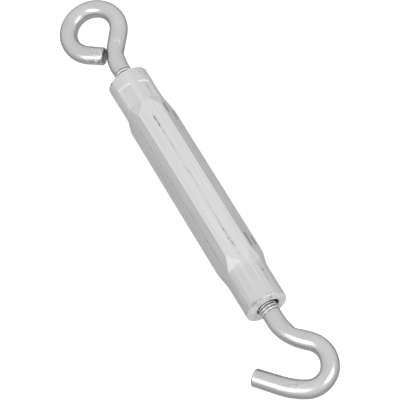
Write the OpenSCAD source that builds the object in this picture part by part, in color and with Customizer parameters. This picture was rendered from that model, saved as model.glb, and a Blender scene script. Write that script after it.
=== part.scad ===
// Hook-and-eye rigging turnbuckle, 3/8-16 thread.
// The thread axis is X and the origin is the middle of the barrel. The eye is at -X and the hook at +X.
// The barrel's upper and lower flats face +Z and -Z.

/* [Thread] */
// Major diameter of the thread
thread_d = 9.525; // [8:0.005:10]
// Travel of a bolt for one turn
pitch = 1.5875; // [1:0.0005:2]
// Depth of the thread from crest to root
thread_depth = 0.9; // [0.5:0.05:1.1]
// Gap all round between a crest and the barrel's bore
thread_gap = 0.05; // [0.02:0.01:0.1]
// Distance from the barrel's middle to each bolt's inner end, with the bolts screwed in
inner_end = 3; // [1:0.5:10]

/* [Barrel] */
// Length from end face to end face
barrel_len = 146; // [130:1:180]
// Distance across opposite flats of the hexagon
flat_w = 21.86; // [20:0.02:25]
// Diameter that trims the hexagon's corners round
corner_d = 25.2; // [24.2:0.1:25.2]
// Diameter of the round boss at each end
boss_d = 21.5; // [20:0.1:21.8]
// Distance from the middle to where the corners start to taper
taper_start = 45.5; // [30:0.5:50]
// Distance from the middle to where the round boss starts
boss_start = 54; // [52:0.5:60]
// Chamfer around each end face
end_chamfer = 0.35; // [0.1:0.05:1]

/* [Pressed facets] */
// Depth of the facets below the boss, at the middle of each facet
facet_depth = 0.55; // [0.1:0.05:0.6]
// Width of the plain collar between the eye end's face and its facets
collar_w = 7.5; // [4:0.5:12]

/* [Bore] */
// Diameter of the clearance counterbore at each mouth
mouth_d = 11.7; // [10.5:0.1:14]
// Depth of that counterbore
mouth_depth = 3; // [1:0.5:6]
// Length of the threaded bore behind each counterbore
threaded_len = 18; // [12:1:25]
// Diameter of the hollow between the two threaded bores
hollow_d = 11.6; // [10.5:0.1:14]

/* [Sight slits] */
// Width of each slit
slit_w = 1; // [0.5:0.1:2]
// Length of each slit
slit_len = 8; // [4:0.5:10]
// Distance from the barrel's middle to the near end of a slit
slit_start = 38; // [30:0.5:40]
// Distance between the two slits of a pair
slit_pitch = 5.7; // [4:0.1:8]

/* [Bolts] */
// Diameter of the bent rod
rod_d = 9.2; // [8:0.1:9.4]
// Chamfer on the cut end of each rod
rod_chamfer = 0.5; // [0.2:0.1:1]
// Turn of the eye and the hook about the axis, from level
bolt_tilt = 10.5; // [-15:0.5:15]
// Length of eye bolt thread that shows outside the barrel
eye_thread_out = 6; // [1:0.5:8]
// Length of hook bolt thread that shows outside the barrel
hook_thread_out = 4.5; // [1:0.5:8]

/* [Eye] */
// Radius of the eye's centre line
eye_r = 13.3; // [12:0.1:18]
// Distance from the barrel's face to where the eye's neck starts to bend
eye_neck = 8.9; // [8.5:0.1:30]
// Angle of the neck bend
eye_neck_turn = 37.3; // [35:0.1:44]
// Radius of the neck bend
eye_neck_r = 20.6; // [15:0.1:24]
// Straight length from the neck bend to the round of the eye
eye_side = 7.6; // [3:0.1:10]
// Angle that the round of the eye turns through
eye_turn = 267.2; // [265:0.1:268]
// Straight length at the free end
eye_tail = 8.8; // [5:0.1:9]

/* [Hook] */
// Distance from the barrel's face to where the hook's neck starts to bend
hook_neck = 8.2; // [8.1:0.1:30]
// Angle of the neck bend
hook_neck_turn = 41.7; // [35:0.1:50]
// Radius of the neck bend
hook_neck_r = 22.1; // [12:0.1:30]
// Straight length from the neck bend to the hook's back
hook_side = 5.1; // [1:0.1:10]
// Angle and radius of the hook's back
hook_back = [73.2, 13.4];
// Angle and radius of the hook's bend
hook_bend = [90.7, 10.8];
// Angle and radius of the gentle curve that opens the hook's arm
hook_open = [18.6, 38.6];
// Straight length at the tip
hook_tip = 13.7; // [5:0.1:20]

/* [Hidden] */
$fn = 96;
half_len = barrel_len / 2;
eps = 0.01;
aluminium = [0.80, 0.81, 0.82];
zinc_plate = [0.66, 0.67, 0.69];

// Turns the +Z axis of its children to +X, and their +X axis to -Z.
module along_x() {
    rotate([0, 90, 0]) children();
}

// Outline that the barrel's corners, tapers and bosses are turned to.
module barrel_profile() {
    half = [
        [boss_d / 2, boss_start],
        [boss_d / 2, half_len - end_chamfer],
        [boss_d / 2 - end_chamfer, half_len]
    ];
    polygon([
        [0, -half_len],
        for (i = [2:-1:0]) [half[i][0], -half[i][1]],
        [corner_d / 2, -taper_start],
        [corner_d / 2, taper_start],
        each half,
        [0, half_len]
    ]);
}

// Wedge that presses one flat facet into a corner, from the taper's start to facet_end.
module facet_cutter(facet_end) {
    floor_r = boss_d / 2 - facet_depth;
    rotate([90, 0, 0]) linear_extrude(height = flat_w, center = true) polygon([
        [corner_d / 2, taper_start],
        [floor_r, boss_start],
        [floor_r, facet_end],
        [flat_w, facet_end],
        [flat_w, taper_start]
    ]);
}

// Six facets around one end; side is 1 for the hook end and -1 for the eye end.
module facets(side, facet_end) {
    mirror([0, 0, side < 0 ? 1 : 0])
        for (k = [0:5]) rotate([0, 0, 30 + 60 * k]) facet_cutter(facet_end);
}

// Stepped bore for one bolt: counterbore and threaded bore.
module bolt_bore() {
    bore_d = thread_d + 2 * thread_gap;
    translate([0, 0, half_len - mouth_depth]) cylinder(d = mouth_d, h = mouth_depth + 1);
    cylinder(d = bore_d, h = half_len);
}

// Two pairs of slits through opposite side walls near one end.
module sight_slits() {
    for (y = [-slit_pitch / 2, slit_pitch / 2])
        translate([y - slit_w / 2, -flat_w, slit_start]) cube([slit_w, 2 * flat_w, slit_len]);
}

// Hexagonal body with round ends, one piece of aluminium.
module barrel() {
    hollow_len = 2 * (half_len - mouth_depth - threaded_len);
    color(aluminium) along_x() difference() {
        intersection() {
            rotate([0, 0, 30]) cylinder(d = flat_w / cos(30), h = barrel_len + 2, center = true, $fn = 6);
            rotate_extrude() barrel_profile();
        }
        facets(1, boss_start + eps);
        facets(-1, half_len - collar_w);
        for (side = [0, 1]) mirror([0, 0, side]) {
            bolt_bore();
            rotate([0, 0, 30]) sight_slits();
        }
        cylinder(d = hollow_d, h = hollow_len, center = true);
    }
}

// Half section of a rod with thread ridges from z = 0 to length, chamfered at z = 0.
module thread_profile(length) {
    root_r = thread_d / 2 - thread_depth;
    count = floor((length - pitch) / pitch);
    polygon([
        [0, 0],
        [root_r, 0],
        for (i = [0:count - 1]) each [
            [root_r, (i + 0.6) * pitch],
            [thread_d / 2, (i + 0.94) * pitch],
            [thread_d / 2, (i + 1.06) * pitch],
            [root_r, (i + 1.4) * pitch]
        ],
        [rod_d / 2, length],
        [0, length]
    ]);
}

// Threaded end of a bolt along X; out is the length that shows outside the barrel.
module threaded_end(out) {
    translate([inner_end, 0, 0]) along_x()
        rotate_extrude() thread_profile(half_len + out - inner_end);
}

// One bend of the rod from the origin, heading +X and turning toward +Y for a turn above 0.
module bend(turn, radius) {
    mirror([0, turn < 0 ? 1 : 0, 0])
        translate([0, radius, 0]) rotate([0, 0, -90])
            rotate_extrude(angle = abs(turn)) translate([radius, 0]) circle(d = rod_d);
}

// Hair-thin collar over the seam between two lengths of rod, which makes them one solid.
module seam() {
    along_x() cylinder(d = rod_d + 2 * eps, h = 10 * eps, center = true);
}

// Rod along a run of [turn, size] steps; a turn of 0 is a straight of that length.
module rod(run, i = 0) {
    turn = run[i][0];
    size = run[i][1];
    side = turn < 0 ? -1 : 1;
    if (i > 0) seam();
    if (turn == 0) along_x() cylinder(d = rod_d, h = size);
    else bend(turn, size);
    move = turn == 0 ? [size, 0, 0] : size * [sin(abs(turn)), side * (1 - cos(turn)), 0];
    translate(move) rotate([0, 0, turn]) {
        if (i + 1 < len(run)) rod(run, i + 1);
        else along_x() cylinder(d1 = rod_d, d2 = rod_d - 2 * rod_chamfer, h = rod_chamfer);
    }
}

// Thread of the eye bolt, left-handed, seen as plain ridges.
module eye_bolt_thread() {
    color(zinc_plate) mirror([1, 0, 0]) threaded_end(eye_thread_out);
}

// Neck and eye of the eye bolt.
module eye_bolt_ring() {
    color(zinc_plate) mirror([1, 0, 0]) rotate([bolt_tilt, 0, 0])
        translate([half_len + eye_thread_out, 0, 0]) rod([
            [0, eye_neck - eye_thread_out],
            [eye_neck_turn, eye_neck_r],
            [0, eye_side],
            [-eye_turn, eye_r],
            [0, eye_tail - rod_chamfer]
        ]);
}

// Thread of the hook bolt, right-handed, seen as plain ridges.
module hook_bolt_thread() {
    color(zinc_plate) threaded_end(hook_thread_out);
}

// Neck and hook of the hook bolt.
module hook_bolt_hook() {
    color(zinc_plate) rotate([bolt_tilt, 0, 0])
        translate([half_len + hook_thread_out, 0, 0]) rod([
            [0, hook_neck - hook_thread_out],
            [hook_neck_turn, hook_neck_r],
            [0, hook_side],
            [-hook_back[0], hook_back[1]],
            [-hook_bend[0], hook_bend[1]],
            [-hook_open[0], hook_open[1]],
            [0, hook_tip - rod_chamfer]
        ]);
}

barrel();
eye_bolt_thread();
eye_bolt_ring();
hook_bolt_thread();
hook_bolt_hook();
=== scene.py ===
import math

import bpy
import numpy as np
from mathutils import Matrix, Vector


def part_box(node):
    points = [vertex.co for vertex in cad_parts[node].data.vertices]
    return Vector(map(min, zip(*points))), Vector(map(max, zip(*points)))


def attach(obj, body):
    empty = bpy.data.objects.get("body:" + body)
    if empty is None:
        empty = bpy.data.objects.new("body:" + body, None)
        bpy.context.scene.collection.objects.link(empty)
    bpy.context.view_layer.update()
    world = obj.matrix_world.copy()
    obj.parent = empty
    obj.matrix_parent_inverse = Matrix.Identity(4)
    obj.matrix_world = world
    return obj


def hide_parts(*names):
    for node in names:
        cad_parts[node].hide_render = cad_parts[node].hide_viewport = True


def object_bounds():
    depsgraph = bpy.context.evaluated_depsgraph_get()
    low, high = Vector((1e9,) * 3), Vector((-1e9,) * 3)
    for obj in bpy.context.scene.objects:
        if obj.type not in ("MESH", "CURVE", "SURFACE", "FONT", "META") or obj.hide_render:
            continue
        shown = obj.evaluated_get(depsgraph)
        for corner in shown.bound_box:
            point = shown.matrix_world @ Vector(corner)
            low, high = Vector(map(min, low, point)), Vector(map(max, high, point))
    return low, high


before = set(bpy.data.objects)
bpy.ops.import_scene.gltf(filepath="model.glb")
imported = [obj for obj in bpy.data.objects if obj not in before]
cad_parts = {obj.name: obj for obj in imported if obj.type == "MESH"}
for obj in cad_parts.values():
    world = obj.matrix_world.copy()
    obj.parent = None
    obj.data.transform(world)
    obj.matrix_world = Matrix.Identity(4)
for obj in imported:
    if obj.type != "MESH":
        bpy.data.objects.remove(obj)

MM = 0.001
cad_low, cad_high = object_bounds()


# ---------------------------------------------------------------- dimensions

barrel_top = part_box("barrel")[1] / MM
HALF_LEN = barrel_top.x         # middle of the barrel to an end face
CORNER_R = barrel_top.y         # axis to a trimmed corner
FLAT_R = barrel_top.z           # axis to a flat of the hexagon
BOSS_R = 10.75
TAPER_START = 45.5              # middle of the barrel to where the corners start to taper
BOSS_START = 54.0
END_CHAMFER = 0.2
FLAT_SLOPE = 0.02               # fall of each flat from its middle to its corners
TAPER_SOFT = 1.4                # rounding of the two bends of each corner's taper
BOSS_LEAN = 0.25                # how far the hook end's boss lies over towards -Y
CREASE_DEPTH = 0.10             # soft crease along the middle of each flat
CREASE_HALF_WIDTH = 0.5
CREASE_END = (38, 47)           # where the creases fade out, from the middle of the barrel
MARK_DEPTH = 0.05               # depth of a mark of strength 1

# The pressed facets, corner by corner from +Y round: start and end of each corner's taper and of its facet
# at the hook end, depth there, painted light or shade there (above 0 is brighter than the rest), and at the
# eye end depth and width of the plain collar between facet and end face.
HOOK_TAPERS = ((45.5, 54.0), (45.4, 52.6), (44.6, 51.4), (45.5, 54.0), (44.5, 53.0), (45.0, 53.5))
HOOK_FACETS = ((45.5, 53.4), (44.0, 51.6), (43.8, 50.3), (45.5, 53.4), (44.5, 52.4), (45.0, 53.0))
HOOK_FACET_DEPTH = 0.35
HOOK_FACET_PAINTED_LIGHT = (0.0, 0.0, 0.42, 0.0, -0.2, -0.2)
EYE_FACET_DEPTHS = (0.5, 0.42, 0.6, 0.6, 0.5, 0.5)
COLLAR_WIDTHS = (8.8, 9.2, 7.7, 9.8, 8.4, 9.0)
FACET_SOFT = 0.3                # rounding of the bends at a facet's start and end

# Marks on the barrel: drawn lines on the bosses as (angle, half width, strength), specks and smears as
# (place, angle, half length, half width), rim marks as (side, angle, half width, length, strength) and
# dark patches on the sawn end faces as (angle, half width).
BOSS_LINES = ((57, 1.5, 1.7), (63, 1.5, 0.5), (84, 2.5, 0.35), (120, 3.0, 0.45), (138, 2.0, 0.3),
              (149, 2.0, 0.8), (163, 3.0, 0.4), (200, 2.2, 0.6), (243, 2.5, 0.5), (300, 2.3, 0.7),
              (352, 2.2, 0.5))
SPECKS = ((-63.4, 122, 0.4, 0.4), (67.0, 163, 0.5, 0.4), (46.0, 91, 0.4, 0.3), (58.5, 54, 0.9, 0.4),
          (-58.0, 141, 0.3, 0.3), (-30.0, 128, 0.4, 0.3), (12.0, 134, 0.3, 0.3),
          (30.4, 38, 0.7, 0.35), (27.0, 33, 0.5, 0.4), (-41.7, 16, 2.6, 0.6), (39.8, 16, 2.0, 0.6),
          (36.5, 95, 0.6, 0.3), (31.0, 92, 0.9, 0.25), (-36.0, 91, 1.2, 0.3), (-41.0, 92, 1.6, 0.3),
          (61.0, 230, 0.4, 0.4), (-20.0, 262, 0.4, 0.3), (-66.0, 305, 0.4, 0.4))
RIM_MARKS = ((-1, 149, 4, 1.2, 3.0), (-1, 75, 3, 0.5, 0.8), (1, 125, 13, 2.2, 1.2), (1, 77, 9, 1.8, 1.3),
             (1, 105, 5, 1.3, 1.2), (1, 165, 5, 0.6, 0.7), (1, 250, 8, 1.0, 1.0), (-1, 290, 6, 1.0, 1.0))
END_DARK_PATCHES = ((124, 13), (76, 9))
SPECK_STRENGTH = 1.55
END_PATCH_STRENGTH = 1.25

SLIT_WIDTH = 1.15
SLITS = (                       # start, end and sideways place of each sight slit
    (37.4, 42.3, 2.85),
    (35.8, 44.2, -2.85),
    (-48.3, -42.2, -2.85),
    (-44.6, -38.9, 2.85),
)
SLIT_FACE = 30                  # angle of the flat that the slits go in through
SLIT_REACH = 20                 # far enough to cut through both walls

MOUTH_R = 5.85
MOUTH_DEPTH = 3.0
MOUTH_EASE = 0.25               # rounding of a mouth's edge
HOOK_MOUTH_OFFSET = 0.55        # how far off centre each mouth was drilled
EYE_MOUTH_OFFSET = 0.1
MOUTH_OFFSET_ANGLE = -41
THREADED_LEN = 18.0             # length of each threaded bore, behind its mouth
HOLLOW_R = 5.8

PITCH = 1.5875
THREAD_R = 9.525 / 2
THREAD_DEPTH = 0.9
THREAD_GAP = 0.1                # between the bolt's thread and the barrel's
ROD_R = 4.6
HOOK_PHASE = 0.74               # part of a turn that each thread is turned on
EYE_PHASE = 0.7
INNER_END = 3.0                 # barrel's middle to the bolts' inner ends
BOLT_TILT = 10.5                # turn of the eye and the hook about X
THREAD_RUN_OUT = 0.9            # length over which a thread fades into its rod
RELIEF_DEPTH = 0.3              # narrow groove where the eye bolt's thread ends
INNER_CHAMFER = 1.3             # chamfer at a bolt's inner end
CUT_CHAMFER = 0.45              # chamfer at a rod's free end
DENT_DEPTH = 0.55               # dent that the bending tool left inside each neck
DENT_REACH = 4

# Each bolt's rod as (turn, size) steps: a turn of 0 is a straight, otherwise size is the radius.
EYE_THREAD_OUT = 6.0
EYE_RUN = ((0, 2.9), (37.3, 20.6), (0, 7.6), (-267.2, 13.3), (0, 8.8))
HOOK_THREAD_OUT = 4.5
HOOK_RUN = ((0, 3.7), (41.7, 22.1), (0, 5.1), (-73.2, 13.4), (-90.7, 10.8), (-18.6, 38.6), (0, 13.7))


# ---------------------------------------------------------------- shape helpers

def cosd(angle):
    return np.cos(np.radians(angle))


def sind(angle):
    return np.sin(np.radians(angle))


def smoothstep(x, start, end):
    t = np.clip((x - start) / (end - start), 0, 1)
    return t * t * (3 - 2 * t)


def bump(x, middle, half):
    """1 at the middle, falling smoothly to nearly 0 two halves away."""
    return np.exp(-((x - middle) / half) ** 2)


def smooth_min(a, b, width):
    """The lower of a and b, with their crossing rounded over width."""
    h = np.clip(0.5 + 0.5 * (b - a) / width, 0, 1)
    return b * (1 - h) + a * h - width * h * (1 - h)


def soft_ramp(x, start, end, low, high, soft):
    """From low before start to high after end, straight between, with both bends rounded over soft."""
    def bend(t):
        return 0.5 * (t + np.sqrt(t * t + soft * soft))
    return low + (high - low) / (end - start) * (bend(x - start) - bend(x - end))


def wander(x, wave, seed):
    """Smooth seeded variation along x, between about -1 and 1, with waves that long and shorter."""
    draw = np.random.default_rng(seed)
    total = 0
    for k in range(3):
        total = total + np.sin(2 * np.pi * x * 1.9 ** k / wave + draw.uniform(0, 6.28)) * 0.6 ** k
    return total / 1.9


def spread(*spans):
    """Positions along (start, end, step) spans that follow one another."""
    parts = [np.arange(0, 1, step / abs(b - a)) * (b - a) + a for a, b, step in spans]
    return np.concatenate(parts + [[spans[-1][1]]])


def turn_angle(a, b):
    """Difference of two angles, from -180 to 180."""
    return (a - b + 180) % 360 - 180


def add_mesh(name, points, faces, values):
    """A smooth mesh object from points in mm. values holds its point attributes by name."""
    mesh = bpy.data.meshes.new(name)
    mesh.from_pydata((points * MM).tolist(), [], faces)
    for key, value in values.items():
        vector = value.ndim == 2
        layer = mesh.attributes.new(key, "FLOAT_VECTOR" if vector else "FLOAT", "POINT")
        layer.data.foreach_set("vector" if vector else "value", value.astype(np.float32).ravel())
    mesh.shade_smooth()
    piece = bpy.data.objects.new(name, mesh)
    bpy.context.scene.collection.objects.link(piece)
    return piece


def grid_faces(rows, columns, closed):
    """Quads over a grid of rows whose columns wrap round. closed joins the last row to the first."""
    faces = []
    for i in range(rows if closed else rows - 1):
        a = i * columns
        b = (i + 1) % rows * columns
        faces += [(a + j, b + j, b + (j + 1) % columns, a + (j + 1) % columns) for j in range(columns)]
    return faces


def thread_depth(turns):
    """Depth of the thread's groove, from 0 to 1, at a place given by thread_turns."""
    return smoothstep(np.abs((turns + 0.5) % 1 - 0.5), 0.2, 0.48)


def thread_turns(x, angle, side):
    """Turns along the thread at x from the middle of the barrel, less the part of a turn round it."""
    return x / PITCH - angle / 360 - (HOOK_PHASE if side > 0 else EYE_PHASE)


# ---------------------------------------------------------------- barrel

BARREL_COLUMNS = 360


def by_corner(values, angle):
    """Values given corner by corner, run straight from each corner to the next."""
    return np.interp(angle, np.arange(7) * 60, tuple(values) + (values[0],))


def barrel_marks(x, angle):
    """How dark the lines, specks and rim marks are at each place."""
    reach = np.abs(x)
    on_boss = smoothstep(reach, 50, 56)
    dark = 0
    for k, (place, half, strength) in enumerate(BOSS_LINES):
        worn = 0.75 + 0.5 * wander(x, 17, 80 + k)
        stray = 0.8 * wander(x, 60, 95 + k)
        dark = dark + strength * worn * on_boss * bump(turn_angle(angle, place), stray, half)
    for place, around, half_length, half_width in SPECKS:
        aside = np.radians(turn_angle(angle, around)) * BOSS_R
        dark = dark + SPECK_STRENGTH * bump(np.hypot((x - place) / half_length, aside / half_width), 0, 1)
    for side, around, half, length, strength in RIM_MARKS:
        edge = HALF_LEN - length * (0.8 + 0.3 * wander(angle, 9, 110 + around))
        near_rim = smoothstep(side * x, edge - 0.2, edge + 0.2)
        dark = dark + strength * bump(turn_angle(angle, around), 0, half) * near_rim
    return dark


def creases(x, across, side):
    """Depth of the soft crease along the middle of each flat, ending on the shoulders."""
    reach = np.abs(x)
    depth = 0
    for k in range(6):
        middle = 0.25 * wander(x, 75, 20 + k)
        half = CREASE_HALF_WIDTH + 0.1 * wander(x, 30, 40 + k) + 0.2 * smoothstep(reach, 25, 44)
        deepest = CREASE_DEPTH + 0.03 * wander(x, 22, 60 + k) + 0.03 * smoothstep(reach, 22, 36)
        depth = depth + (side == k) * deepest * bump(across, middle, half)
    return depth * (1 - smoothstep(reach, *CREASE_END))


def barrel_tones(x, angle, edge, step, pressed):
    """Painted highlights and, below 0, painted shade and dullness on the metal. edge, step and pressed say how
    much of each is there.
    """
    reach = np.abs(x)
    at_eye = (x < 0) * 1.0
    on_boss = smoothstep(reach, 50, 55)
    corner = np.round(angle / 60).astype(int) % 6

    # painted highlights: on the steps at the facets' ends, a patch on the hook end's rim and one side of the
    # eye's boss
    bright = step * (0.2 + 0.8 * at_eye)
    on_rim = smoothstep(x, HALF_LEN - 0.9, HALF_LEN - 0.5)
    bright = bright + 0.8 * bump(turn_angle(angle, 80), 0, 13) * on_rim
    bright = bright + 0.2 * bump(turn_angle(angle, 165), 0, 24) * smoothstep(-x, 50, 55)

    # painted shade on one side face, bosses duller than the hexagon, and each hook-end facet's painted light or
    # shade
    dullness_and_shade = 0.16 * bump(turn_angle(angle, 163), 0, 26) * (1 - on_boss) + (0.12 - 0.06 * at_eye) * on_boss
    dullness_and_shade = dullness_and_shade - (1 - at_eye) * np.take(HOOK_FACET_PAINTED_LIGHT, corner) * pressed
    return np.maximum(edge, bright) - dullness_and_shade


def barrel_skin(x, angle):
    """Radius of the outside at each place, how dark it is from marks and painted shade, and how bright or dull
    it is with painted highlights and shade.
    """
    reach = np.abs(x)
    at_eye = (x < 0) * 1.0
    at_hook = 1 - at_eye
    from_flat = (angle % 60) - 30
    from_corner = ((angle + 30) % 60) - 30
    side = np.floor(angle / 60).astype(int) % 6
    corner = np.round(angle / 60).astype(int) % 6

    # the hexagon, its corners tapered down to the round bosses
    crown = FLAT_SLOPE * (3 - np.sqrt(0.25 + (FLAT_R * np.tan(np.radians(from_flat))) ** 2))
    flat = (FLAT_R + crown) / cosd(from_flat)
    taper_start = by_corner([t[0] for t in HOOK_TAPERS], angle) * at_hook + TAPER_START * at_eye
    taper_end = by_corner([t[1] for t in HOOK_TAPERS], angle) * at_hook + BOSS_START * at_eye
    cone = soft_ramp(reach, taper_start, taper_end, CORNER_R, BOSS_R, TAPER_SOFT)

    # a facet pressed a little askew into each corner
    skew = 0.3 * np.sin(corner * 2.1 + 1.3) * at_eye - 0.03 * from_corner
    press_start = np.take([f[0] for f in HOOK_FACETS], corner) * at_hook + TAPER_START * at_eye
    press_end = np.take([f[1] for f in HOOK_FACETS], corner) * at_hook + (BOSS_START - 0.6) * at_eye
    floor = BOSS_R - np.take(EYE_FACET_DEPTHS, corner) * at_eye - HOOK_FACET_DEPTH * at_hook
    press = soft_ramp(reach + skew, press_start, press_end, CORNER_R, floor, FACET_SOFT) / cosd(from_corner)
    collar_start = HALF_LEN - np.take(COLLAR_WIDTHS, corner) + 0.015 * from_corner
    facet_end = at_eye * collar_start + at_hook * (press_end + 0.1 - skew)
    facet = press + 1.5 * smoothstep(reach, facet_end, facet_end + 0.45)

    hard = np.minimum(np.minimum(flat, cone), facet)
    radius = smooth_min(smooth_min(flat, cone, 0.14 + 0.3 * smoothstep(reach, 46, 52)), facet, 0.05)
    crease = creases(x, radius * sind(from_flat), side)
    lean = BOSS_LEAN * smoothstep(x, 46, 56) * cosd(angle)

    corner_edge = bump(from_corner, 0, 9) * (0.6 + 0.4 * wander(x, 14, 7))
    edge = np.clip((hard - radius) / 0.02, 0, 1) * corner_edge * (0.15 + 0.2 * at_eye)
    step = smoothstep(reach, facet_end - 0.3, facet_end) * (cone > press)
    step = step * (1 - smoothstep(reach, facet_end + 0.5, facet_end + 0.8))
    before_end = 1 - smoothstep(reach, press_end - skew, press_end - skew + 0.4)
    pressed = (facet < np.minimum(cone, flat) + 0.01) * before_end
    marks = barrel_marks(x, angle)
    # dark: painted shade along each crease and on the eye end's pressed facets, plus the marks
    dark = crease / 0.115 + marks + 0.5 * at_eye * pressed
    return radius - crease - MARK_DEPTH * marks - lean, dark, barrel_tones(x, angle, edge, step, pressed)


def mouth_radius(side, angle):
    """Radius of a mouth from the thread's axis. The hook end's was drilled well off centre."""
    offset = HOOK_MOUTH_OFFSET if side > 0 else EYE_MOUTH_OFFSET
    return MOUTH_R + offset * cosd(angle - MOUTH_OFFSET_ANGLE)


def barrel_grid():
    """Rings of the barrel in order: outside from eye to hook, hook end, bore, eye end."""
    angle = np.arange(BARREL_COLUMNS) * 360 / BARREL_COLUMNS
    rim = HALF_LEN - END_CHAMFER
    rings = []

    def ring(x, radius, dark=0.0, bright=0.0, sawn=0.0):
        ones = np.ones(BARREL_COLUMNS)
        rings.append((x * ones, radius * ones, dark * ones, bright * ones, sawn * ones))

    for x in spread((-rim, -68.5, 0.25), (-68.5, -63.5, 0.12), (-63.5, -55.5, 0.4), (-55.5, -44.5, 0.15),
                    (-44.5, 44.5, 0.8), (44.5, 55.5, 0.15), (55.5, rim, 0.35)):
        ring(x, *barrel_skin(np.full(BARREL_COLUMNS, x), angle))

    def end_face(side):
        """From the outside's rim to the mouth's edge, faintly ridged by the saw."""
        outside = barrel_skin(np.full(BARREL_COLUMNS, side * rim), angle)[0] - END_CHAMFER
        for t in np.linspace(0, 1, 14):
            radius = outside + (mouth_radius(side, angle) + MOUTH_EASE - outside) * t
            saw = 0.02 * np.sin(radius * sind(angle + 20) * 9) * (0 < t < 1)
            dark_patch = sum(bump(turn_angle(angle, around), 0, half) for around, half in END_DARK_PATCHES)
            dark = END_PATCH_STRENGTH * dark_patch * bump(t, 0.4, 0.5)
            ring(side * (HALF_LEN - 0.02 + saw), radius, dark, sawn=1.0)

    def bore(side):
        """From the mouth's edge to the start of the hollow, listed from outside in, with painted shade growing
        darker deeper in.
        """
        mouth_floor = HALF_LEN - MOUTH_DEPTH
        hollow_start = mouth_floor - THREADED_LEN
        around = angle - BOLT_TILT
        first = len(rings)
        # painted shade: darker deeper into the mouth, darkest on its floor, then the thread and the hollow
        for x in (HALF_LEN - MOUTH_EASE, HALF_LEN - 1, HALF_LEN - 2, mouth_floor):
            ring(side * x, mouth_radius(side, angle), 0.5 + 0.9 * min(HALF_LEN - x, 1.5))
        ring(side * mouth_floor, THREAD_R + THREAD_GAP + 0.35, 1.8)
        for x in spread((mouth_floor - 0.3, hollow_start + 0.3, PITCH / 10)):
            groove = thread_depth(thread_turns(x, around, side))
            ring(side * x, THREAD_R + THREAD_GAP - THREAD_DEPTH * groove, 0.8)
        for x in (hollow_start, hollow_start - 0.3):
            ring(side * x, HOLLOW_R, 1.0)
        return first

    end_face(1)
    bore(1)
    first = bore(-1)
    rings[first:] = rings[first:][::-1]
    first = len(rings)
    end_face(-1)
    rings[first:] = rings[first:][::-1]
    return angle, rings


def make_barrel():
    angle, rings = barrel_grid()
    x, radius, dark, bright, sawn = (np.array([ring[k] for ring in rings]) for k in range(5))
    points = np.stack([x, radius * cosd(angle), radius * sind(angle)], -1).reshape(-1, 3)
    values = {"dark": dark.ravel(), "bright": bright.ravel(), "sawn": sawn.ravel()}
    barrel = add_mesh("turnbuckle_barrel", points, grid_faces(len(rings), BARREL_COLUMNS, True), values)

    faces = [(0, 1, 3, 2), (4, 6, 7, 5), (0, 4, 5, 1), (2, 3, 7, 6), (0, 2, 6, 4), (1, 5, 7, 3)]
    turn = Matrix.Rotation(math.radians(SLIT_FACE - 90), 3, "X")
    corners, quads = [], []
    for start, end, place in SLITS:
        quads += [tuple(v + len(corners) for v in face) for face in faces]
        corners += [turn @ Vector((x, y, z)) for x in (start, end)
                    for y in (place - SLIT_WIDTH / 2, place + SLIT_WIDTH / 2) for z in (-SLIT_REACH, SLIT_REACH)]
    count = len(corners)
    # the slits' walls take dark 2.0: painted shade inside the slits
    slit_shade = {"dark": np.full(count, 2.0), "bright": np.zeros(count), "sawn": np.zeros(count)}
    cutter = add_mesh("slit_cutter", np.array(corners), quads, slit_shade)
    cut = barrel.modifiers.new("slits", "BOOLEAN")
    cut.operation = "DIFFERENCE"
    cut.solver = "MANIFOLD"
    cut.object = cutter
    bpy.context.view_layer.update()
    shape = bpy.data.meshes.new_from_object(barrel.evaluated_get(bpy.context.evaluated_depsgraph_get()))
    barrel.modifiers.clear()
    barrel.data = shape
    bpy.data.objects.remove(cutter)
    barrel.data.shade_smooth()
    barrel.data.set_sharp_from_angle(angle=math.radians(50))
    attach(barrel, "barrel")
    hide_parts("barrel")
    return barrel


# ---------------------------------------------------------------- bolts

BOLT_COLUMNS = 72


def bent_step(bend, t):
    """Place ahead and sideways after a length t of rod that turns by bend radians a millimetre."""
    if bend == 0:
        return t, 0.0
    return math.sin(bend * t) / bend, (1 - math.cos(bend * t)) / bend


def rod_path(start, run, step):
    """Stations along a bent rod that starts on the axis: rows of place, sideways place, heading, length."""
    rows = []
    x, y, heading, length = start, 0.0, 0.0, 0.0
    for turn, size in run:
        arc = size if turn == 0 else math.radians(abs(turn)) * size
        count = max(2, int(round(arc / step)))
        bend = math.radians(turn) / arc
        c, s = math.cos(heading), math.sin(heading)
        for k in range(count):
            t = arc * k / count
            dx, dy = bent_step(bend, t)
            rows.append((x + c * dx - s * dy, y + s * dx + c * dy, heading + bend * t, length + t))
        dx, dy = bent_step(bend, arc)
        x, y = x + c * dx - s * dy, y + s * dx + c * dy
        heading, length = heading + bend * arc, length + arc
    rows.append((x, y, heading, length))
    return np.array(rows)


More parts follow.
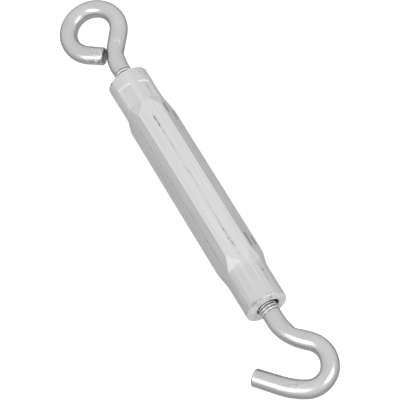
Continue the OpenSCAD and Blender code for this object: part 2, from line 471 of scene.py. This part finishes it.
def make_bolt(name, side, thread_out, run, widths, dent_place, worn_places, body, nodes):
    """One threaded and bent rod, watertight. side is 1 for the hook bolt and -1 for the eye bolt.

    widths are (place, width across the bends). The dent is at dent_place. worn_places are
    (place, reach, angle, half width, strength) of scuffs. Places are measured from the end of the thread.
    """
    angle = np.arange(BOLT_COLUMNS) * 360 / BOLT_COLUMNS
    thread_end = HALF_LEN + thread_out
    zeros = np.zeros(BOLT_COLUMNS)

    # rows of: place, sideways place, heading, length, radius across, radius along the normal, cut, groove
    rings = []

    # the threaded end, from its chamfered inner end out
    for x in spread((INNER_END, thread_end, PITCH / 16)):
        groove = thread_depth(thread_turns(x, angle, side))
        radius = np.minimum(THREAD_R - THREAD_DEPTH * groove, THREAD_R - INNER_CHAMFER + (x - INNER_END))
        fade = smoothstep(x, thread_end - THREAD_RUN_OUT, thread_end)
        relief = bump(x, thread_end - 0.4, 0.28) * (side < 0)
        radius = radius * (1 - fade) + ROD_R * fade - RELIEF_DEPTH * relief
        # painted shade in the thread's grooves and the eye bolt's relief groove, fainter towards the rod
        groove_shade = groove * (1 - fade) * (1 - 0.5 * smoothstep(x, thread_end - 3, thread_end - 1))
        rings.append((x, 0.0, 0.0, x - thread_end, radius, radius, zeros, np.maximum(groove_shade, relief)))

    # the bent rod, a little fatter or thinner across its plane where it was bent
    path = rod_path(thread_end, run, 0.5)[1:]
    total = path[-1, 3]
    places = [w[0] for w in widths]
    sizes = [w[1] / 2 for w in widths]
    for x, y, heading, length in path:
        across = float(np.interp(length, places, sizes))
        along = 2 * ROD_R - across
        chamfer = CUT_CHAMFER * (1 - min(1.0, (total - length) / CUT_CHAMFER))
        near_dent = max(0.0, 1 - abs(length - dent_place) / DENT_REACH)
        dent = DENT_DEPTH * near_dent * bump(turn_angle(angle, 0), 0, 45)
        rings.append((x, y, heading, length, across - chamfer - dent, along - chamfer, zeros, zeros))

    # the cut face at the free end
    x, y, heading, length = path[-1]
    for t in (0.8, 0.6, 0.4, 0.2, 0.05):
        radius = (ROD_R - CUT_CHAMFER) * t
        rings.append((x, y, heading, length, radius, radius, zeros + 1, zeros))

    points, flow, cut, grooves, worn = [], [], [], [], []
    tilt = math.radians(BOLT_TILT)
    in_plane = np.array([0.0, math.cos(tilt), math.sin(tilt)])
    normal = np.array([0.0, -math.sin(tilt), math.cos(tilt)])
    for x, y, heading, length, across, along, face, groove in rings:
        aside = np.array([-math.sin(heading), 0, 0]) + math.cos(heading) * in_plane
        centre = np.array([x, 0, 0]) + y * in_plane
        ring = centre + np.outer(across * cosd(angle), aside) + np.outer(along * sind(angle), normal)
        points.append(ring * (side, 1, 1))
        flow.append(np.stack([zeros + length, across * cosd(angle), along * sind(angle)], -1))
        cut.append(face)
        grooves.append(groove)
        wear = zeros
        for place, reach, around, half, strength in worn_places:
            wear = wear + strength * bump(length, place, reach) * bump(turn_angle(angle, around), 0, half)
        worn.append(wear)
    points = np.concatenate(points)
    count = len(rings)
    faces = grid_faces(count, BOLT_COLUMNS, False)
    faces = faces + [tuple(range(BOLT_COLUMNS))]
    last = (count - 1) * BOLT_COLUMNS
    faces = faces + [tuple(range(last + BOLT_COLUMNS - 1, last - 1, -1))]
    if side > 0:
        faces = [face[::-1] for face in faces]
    values = {"flow": np.concatenate(flow) * MM, "cut": np.concatenate(cut),
              "groove": np.concatenate(grooves), "worn": np.concatenate(worn)}
    bolt = add_mesh(name, points, faces, values)
    bolt.data.set_sharp_from_angle(angle=math.radians(48))
    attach(bolt, body)
    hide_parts(*nodes)
    return bolt


# ---------------------------------------------------------------- materials

class Graph:
    """Short calls for building a node material."""

    def __init__(self, name):
        self.material = bpy.data.materials.new(name)
        self.material.use_nodes = True
        self.tree = self.material.node_tree
        self.shader = self.tree.nodes["Principled BSDF"]

    def node(self, kind, inputs=None, **settings):
        made = self.tree.nodes.new(kind)
        for key, value in settings.items():
            setattr(made, key, value)
        for key, value in (inputs or {}).items():
            self.feed(made.inputs[key], value)
        return made

    def feed(self, socket, value):
        if isinstance(value, bpy.types.NodeSocket):
            self.tree.links.new(value, socket)
        else:
            socket.default_value = value

    def math(self, operation, a, b=0.0):
        return self.node("ShaderNodeMath", {0: a, 1: b}, operation=operation).outputs[0]

    def remap(self, value, low, high, to_low=0.0, to_high=1.0):
        inputs = {"Value": value, "From Min": low, "From Max": high, "To Min": to_low, "To Max": to_high}
        return self.node("ShaderNodeMapRange", inputs, interpolation_type="SMOOTHSTEP").outputs["Result"]

    def mix(self, share, a, b):
        inputs = {0: share, 6: a, 7: b}
        return self.node("ShaderNodeMix", inputs, data_type="RGBA").outputs[2]

    def scaled(self, vector, scale):
        return self.node("ShaderNodeMapping", {"Vector": vector, "Scale": scale}).outputs[0]

    def noise(self, vector, scale, detail=3.0, roughness=0.5):
        inputs = {"Vector": vector, "Scale": scale, "Detail": detail, "Roughness": roughness}
        return self.node("ShaderNodeTexNoise", inputs).outputs["Fac"]

    def cells(self, vector, scale):
        inputs = {"Vector": vector, "Scale": scale}
        return self.node("ShaderNodeTexVoronoi", inputs).outputs["Distance"]

    def attribute(self, name, output="Fac"):
        return self.node("ShaderNodeAttribute", attribute_name=name).outputs[output]

    def raised(self, height, distance, strength=1.0, normal=None):
        inputs = {"Height": height, "Distance": distance, "Strength": strength}
        if normal is not None:
            inputs["Normal"] = normal
        return self.node("ShaderNodeBump", inputs).outputs[0]


def grey(value, tint=0.0):
    """A grey colour. tint adds to its blue."""
    return (value, value, value * (1 + tint), 1)


def aluminium():
    """Satin drawn aluminium: lengthwise lines, cloudy tone, fine spots, dirt in the marks, sawn end faces,
    painted highlights and painted shade.
    """
    g = Graph("satin_aluminium")
    place = g.node("ShaderNodeTexCoord").outputs["Object"]
    dark = g.attribute("dark")
    bright = g.attribute("bright")
    sawn = g.attribute("sawn")
    drawn = g.noise(g.scaled(place, (14, 900, 900)), 1, 4, 0.6)
    streaks = g.noise(g.scaled(place, (30, 3200, 3200)), 1, 2, 0.6)
    clouds = g.noise(g.scaled(place, (45, 160, 160)), 1, 4, 0.55)
    grains = g.noise(place, 2600, 2, 0.6)
    spots = g.remap(g.cells(place, 520), 0.10, 0.22, 1, 0)
    few = g.remap(g.noise(place, 90, 3, 0.6), 0.55, 0.72)
    often = g.math("ADD", g.math("MULTIPLY", few, 0.7), g.math("MULTIPLY", dark, 0.4))
    spots = g.math("MULTIPLY", spots, often)
    tone = g.mix(g.remap(drawn, 0.35, 0.65), grey(0.66), grey(0.75))
    tone = g.mix(g.remap(clouds, 0.35, 0.7), tone, grey(0.72))
    # bright below 0 pulls the tone towards dark grey: painted shade
    tone = g.mix(g.math("MULTIPLY", bright, -1.0), tone, grey(0.28))
    saw_lines = g.noise(g.scaled(place, (1, 2600, 150)), 1, 3, 0.6)
    tone = g.mix(sawn, tone, g.mix(g.remap(saw_lines, 0.35, 0.65), grey(0.76), grey(0.96)))
    patches = g.remap(g.noise(g.scaled(place, (450, 900, 900)), 1, 4, 0.6), 0.38, 0.6, 0.15, 1)
    # darkening from the dark attribute, in patches: dirt in the marks and painted shade in the creases, pressed
    # facets and bores
    dirt_and_shade = g.math("MULTIPLY", g.remap(dark, 0.2, 1.4), patches)
    tone = g.mix(g.math("MULTIPLY", dirt_and_shade, 0.75), tone, grey(0.32))
    # near black where dark is highest: painted shade in the slits and mouths, and the strongest marks
    tone = g.mix(g.remap(dark, 1.4, 2.1), tone, grey(0.08))
    tone = g.mix(g.math("MULTIPLY", spots, 0.7), tone, grey(0.3))
    # bright above 0 pulls the tone towards near white: painted highlights
    tone = g.mix(bright, tone, grey(0.95))
    g.feed(g.shader.inputs["Base Color"], tone)
    g.feed(g.shader.inputs["Metallic"], g.remap(sawn, 0, 1, 1, 0.12))
    rough = g.math("ADD", g.remap(clouds, 0.3, 0.7, 0.36, 0.48), g.math("MULTIPLY", grains, 0.06))
    rough = g.math("ADD", rough, g.math("MULTIPLY", sawn, 0.2))
    g.feed(g.shader.inputs["Roughness"], g.math("SUBTRACT", rough, g.math("MULTIPLY", bright, 0.1)))
    normal = g.raised(drawn, 0.00002, 0.8)
    normal = g.raised(streaks, 0.000006, 0.8, normal)
    normal = g.raised(grains, 0.000008, 0.7, normal)
    g.feed(g.shader.inputs["Normal"], g.raised(spots, -0.00003, 0.8, normal))
    return g.material


def zinc():
    """Semi-gloss zinc plate on a drawn rod: pits, painted shade in the thread grooves, scuffs and a rough cut
    face painted darker for shade.
    """
    g = Graph("zinc_plated_steel")
    flow = g.attribute("flow", "Vector")
    place = g.node("ShaderNodeTexCoord").outputs["Object"]
    cut = g.attribute("cut")
    worn = g.attribute("worn")
    drawn = g.noise(g.scaled(flow, (25, 1500, 1500)), 1, 3, 0.6)
    clouds = g.noise(g.scaled(flow, (60, 130, 130)), 1, 4, 0.6)
    grains = g.noise(place, 2200, 2, 0.6)
    pits = g.remap(g.cells(place, 800), 0.12, 0.3, 1, 0)
    pits = g.math("MULTIPLY", pits, g.remap(g.noise(place, 140, 2), 0.45, 0.65))
    tone = g.mix(g.remap(clouds, 0.3, 0.7), grey(0.54, 0.01), grey(0.60, 0.01))
    tone = g.mix(g.math("MULTIPLY", g.remap(drawn, 0.4, 0.7), 0.3), tone, grey(0.54))
    tone = g.mix(g.math("MULTIPLY", pits, 0.35), tone, grey(0.3))
    on_thread = g.remap(g.node("ShaderNodeSeparateXYZ", {0: flow}).outputs[0], -0.0009, -0.0003, 1, 0)
    tone = g.mix(on_thread, tone, grey(0.82))
    # painted shade in the grooves
    tone = g.mix(g.math("MULTIPLY", g.attribute("groove"), 0.8), tone, grey(0.2))
    scuffs = g.noise(g.scaled(flow, (500, 900, 900)), 1, 4, 0.65)
    shine = g.math("MULTIPLY", worn, g.remap(scuffs, 0.52, 0.58))
    gouges = g.math("MULTIPLY", worn, g.remap(scuffs, 0.44, 0.38))
    tone = g.mix(g.math("MULTIPLY", shine, 0.8), tone, grey(0.95))
    tone = g.mix(g.math("MULTIPLY", gouges, 0.7), tone, grey(0.22))
    # the cut face: painted darker for the shade it sits in, mottled by the scuffs noise
    tone = g.mix(cut, tone, g.mix(g.remap(scuffs, 0.4, 0.6), grey(0.24), grey(0.5)))
    g.feed(g.shader.inputs["Base Color"], tone)
    g.feed(g.shader.inputs["Specular Tint"], grey(0.7))
    g.feed(g.shader.inputs["Metallic"], 1.0)
    rough = g.remap(clouds, 0.3, 0.7, 0.22, 0.30)
    g.feed(g.shader.inputs["Roughness"], g.math("ADD", rough, g.math("MULTIPLY", cut, 0.2)))
    normal = g.raised(drawn, 0.000008, 0.5)
    normal = g.raised(grains, 0.000008, 0.7, normal)
    normal = g.raised(g.math("MULTIPLY", scuffs, g.math("ADD", worn, cut)), 0.0002, 0.8, normal)
    g.feed(g.shader.inputs["Normal"], g.raised(pits, -0.00003, 0.7, normal))
    return g.material


# ---------------------------------------------------------------- object

barrel = make_barrel()
barrel.data.materials.clear()
barrel.data.materials.append(aluminium())

# Width of each rod across its bends as (place, width), and its scuffs as make_bolt lists them.
EYE_WIDTHS = ((0, 9.2), (5, 9.5), (17, 9.25), (23, 9.5), (31, 9.2), (37, 8.9), (50, 9.1), (64, 9.4),
              (76, 9.0), (86, 9.5), (92, 9.1))
HOOK_WIDTHS = ((0, 9.2), (6, 9.3), (15, 8.8), (22, 9.2), (31, 8.8), (42, 9.2), (49, 9.0), (57, 9.3),
               (66, 9.4), (82, 9.0))
EYE_WEAR = ((92, 3.5, 40, 60, 1.0), (88, 4.0, 22, 26, 0.8), (17, 1.4, 66, 20, 0.8),
            (26.5, 1.2, 90, 15, 0.5))
HOOK_WEAR = ((62, 3.5, 85, 35, 0.45), (26, 1.5, 100, 20, 0.25), (84.5, 1.5, 60, 90, 0.4))
EYE_DENT_PLACE = 11.5
HOOK_DENT_PLACE = 15.2

steel = zinc()
eye_bolt = make_bolt("eye_bolt_rod", -1, EYE_THREAD_OUT, EYE_RUN, EYE_WIDTHS, EYE_DENT_PLACE, EYE_WEAR,
                     "eye_bolt", ("eye_bolt_thread", "eye_bolt_ring"))
hook_bolt = make_bolt("hook_bolt_rod", 1, HOOK_THREAD_OUT, HOOK_RUN, HOOK_WIDTHS, HOOK_DENT_PLACE,
                      HOOK_WEAR, "hook_bolt", ("hook_bolt_thread", "hook_bolt_hook"))
for bolt in (eye_bolt, hook_bolt):
    bolt.data.materials.append(steel)


# ---------------------------------------------------------------- camera

# The camera looks down on the flats, leaning towards the hook, with the thread axis
# running down the picture to the right.
CAMERA_LEAN = 26.79
CAMERA_TILT = 10.85
CAMERA_ROLL = 58.35
CAMERA_DISTANCE = 1.1066
CAMERA_LENS = 203.04
CAMERA_SHIFT = (-0.00214, 0.00452)   # metres across and up the picture from its middle to the origin

lean, roll = math.radians(CAMERA_LEAN), math.radians(CAMERA_ROLL)
tilt = math.radians(CAMERA_TILT)
sideways = Vector((0, math.cos(tilt), math.sin(tilt)))
up = Vector((0, -math.sin(tilt), math.cos(tilt)))
back = math.sin(lean) * Vector((1, 0, 0)) + math.cos(lean) * up
axis = math.cos(lean) * Vector((1, 0, 0)) - math.sin(lean) * up
right = math.cos(roll) * axis + math.sin(roll) * sideways
top = math.cos(roll) * sideways - math.sin(roll) * axis
camera_place = CAMERA_DISTANCE * back - CAMERA_SHIFT[0] * right - CAMERA_SHIFT[1] * top

camera_data = bpy.data.cameras.new("camera")
camera_data.lens = CAMERA_LENS
camera_data.sensor_width = 36
camera = bpy.data.objects.new("camera", camera_data)
camera.matrix_world = Matrix.Translation(camera_place) @ Matrix((right, top, back)).transposed().to_4x4()
bpy.context.scene.collection.objects.link(camera)
bpy.context.scene.camera = camera
bpy.context.scene.view_settings.view_transform = "Standard"


# ---------------------------------------------------------------- floor and light

def camera_only(tree, seen, unseen):
    """Mixes a shader that the camera sees with one that lights and reflects in the object."""
    path = tree.nodes.new("ShaderNodeLightPath")
    mixed = tree.nodes.new("ShaderNodeMixShader")
    tree.links.new(path.outputs["Is Camera Ray"], mixed.inputs[0])
    tree.links.new(unseen, mixed.inputs[1])
    tree.links.new(seen, mixed.inputs[2])
    return mixed.outputs[0]


FLOOR_GAP = 0.0002
FLOOR_REACH = 5                 # metres from the middle to each side
FLOOR_GLOW = 0.85               # keeps the floor white where the object shades it


def make_floor():
    """A pale floor just under the barrel. It looks white, and lights the object as grey."""
    level = cad_low.z - FLOOR_GAP
    corners = [(x * FLOOR_REACH, y * FLOOR_REACH, level) for x, y in ((-1, -1), (1, -1), (1, 1), (-1, 1))]
    mesh = bpy.data.meshes.new("floor")
    mesh.from_pydata(corners, [], [(0, 1, 2, 3)])
    floor = bpy.data.objects.new("floor", mesh)
    bpy.context.scene.collection.objects.link(floor)
    material = bpy.data.materials.new("floor_white")
    material.use_nodes = True
    tree = material.node_tree
    tree.nodes.remove(tree.nodes["Principled BSDF"])
    grey_floor = tree.nodes.new("ShaderNodeBsdfDiffuse")
    grey_floor.inputs["Color"].default_value = grey(0.62)
    white_floor = tree.nodes.new("ShaderNodeBsdfDiffuse")
    white_floor.inputs["Color"].default_value = grey(0.5)
    glow = tree.nodes.new("ShaderNodeEmission")
    glow.inputs["Strength"].default_value = FLOOR_GLOW
    both = tree.nodes.new("ShaderNodeAddShader")
    tree.links.new(white_floor.outputs[0], both.inputs[0])
    tree.links.new(glow.outputs[0], both.inputs[1])
    out = tree.nodes["Material Output"]
    tree.links.new(camera_only(tree, both.outputs[0], grey_floor.outputs[0]), out.inputs["Surface"])
    floor.data.materials.append(material)
    floor.visible_glossy = False


# Brightness of the soft light that the metal reflects, by height of the direction it comes from.
SKY = ((-1.0, 0.58), (-0.8, 0.57), (-0.6, 0.55), (-0.42, 0.53), (-0.2, 0.70), (0.1, 0.92), (1.0, 1.02))


def make_sky():
    world = bpy.data.worlds.new("studio")
    bpy.context.scene.world = world
    world.use_nodes = True
    tree = world.node_tree
    seen = tree.nodes["Background"]
    seen.inputs["Color"].default_value = grey(1)
    unseen = tree.nodes.new("ShaderNodeBackground")
    place = tree.nodes.new("ShaderNodeTexCoord")
    split = tree.nodes.new("ShaderNodeSeparateXYZ")
    tree.links.new(place.outputs["Generated"], split.inputs[0])
    rise = tree.nodes.new("ShaderNodeMapRange")
    rise.inputs["From Min"].default_value = -1
    tree.links.new(split.outputs["Z"], rise.inputs["Value"])
    ramp = tree.nodes.new("ShaderNodeValToRGB")
    stops = ramp.color_ramp.elements
    while len(stops) < len(SKY):
        stops.new(0.5)
    for stop, (height, level) in zip(stops, SKY):
        stop.position = (height + 1) / 2
        stop.color = grey(level)
    tree.links.new(rise.outputs["Result"], ramp.inputs["Fac"])
    tree.links.new(ramp.outputs["Color"], unseen.inputs["Color"])
    mixed = camera_only(tree, seen.outputs[0], unseen.outputs[0])
    tree.links.new(mixed, tree.nodes["World Output"].inputs["Surface"])


def softbox(name, place, width, height, brightness, lit):
    """A soft light for the lit collection alone. It faces the object, with its height along the axis."""
    data = bpy.data.lights.new(name, "AREA")
    data.shape = "RECTANGLE"
    data.size = width
    data.size_y = height
    data.energy = brightness * math.pi * width * height
    light = bpy.data.objects.new(name, data)
    facing = place.normalized()
    along = (axis - axis.dot(facing) * facing).normalized()
    turn = Matrix((along.cross(facing), along, facing)).transposed().to_4x4()
    light.matrix_world = Matrix.Translation(place) @ turn
    light.visible_camera = False
    light.light_linking.receiver_collection = lit
    bpy.context.scene.collection.objects.link(light)


def studio_place(across, along, toward):
    """A place given in metres across the picture, along the object and towards the camera."""
    return across * sideways + along * axis + toward * back


make_floor()
make_sky()
plated = bpy.data.collections.new("plated")     # the softboxes light only the bolts, which mirror them
for bolt in (eye_bolt, hook_bolt):
    plated.objects.link(bolt)
softbox("softbox_left", studio_place(-0.52, -0.02, 0.71), 0.54, 0.35, 3.1, plated)
softbox("softbox_right", studio_place(0.42, 0.25, 0.66), 0.42, 0.33, 3.1, plated)
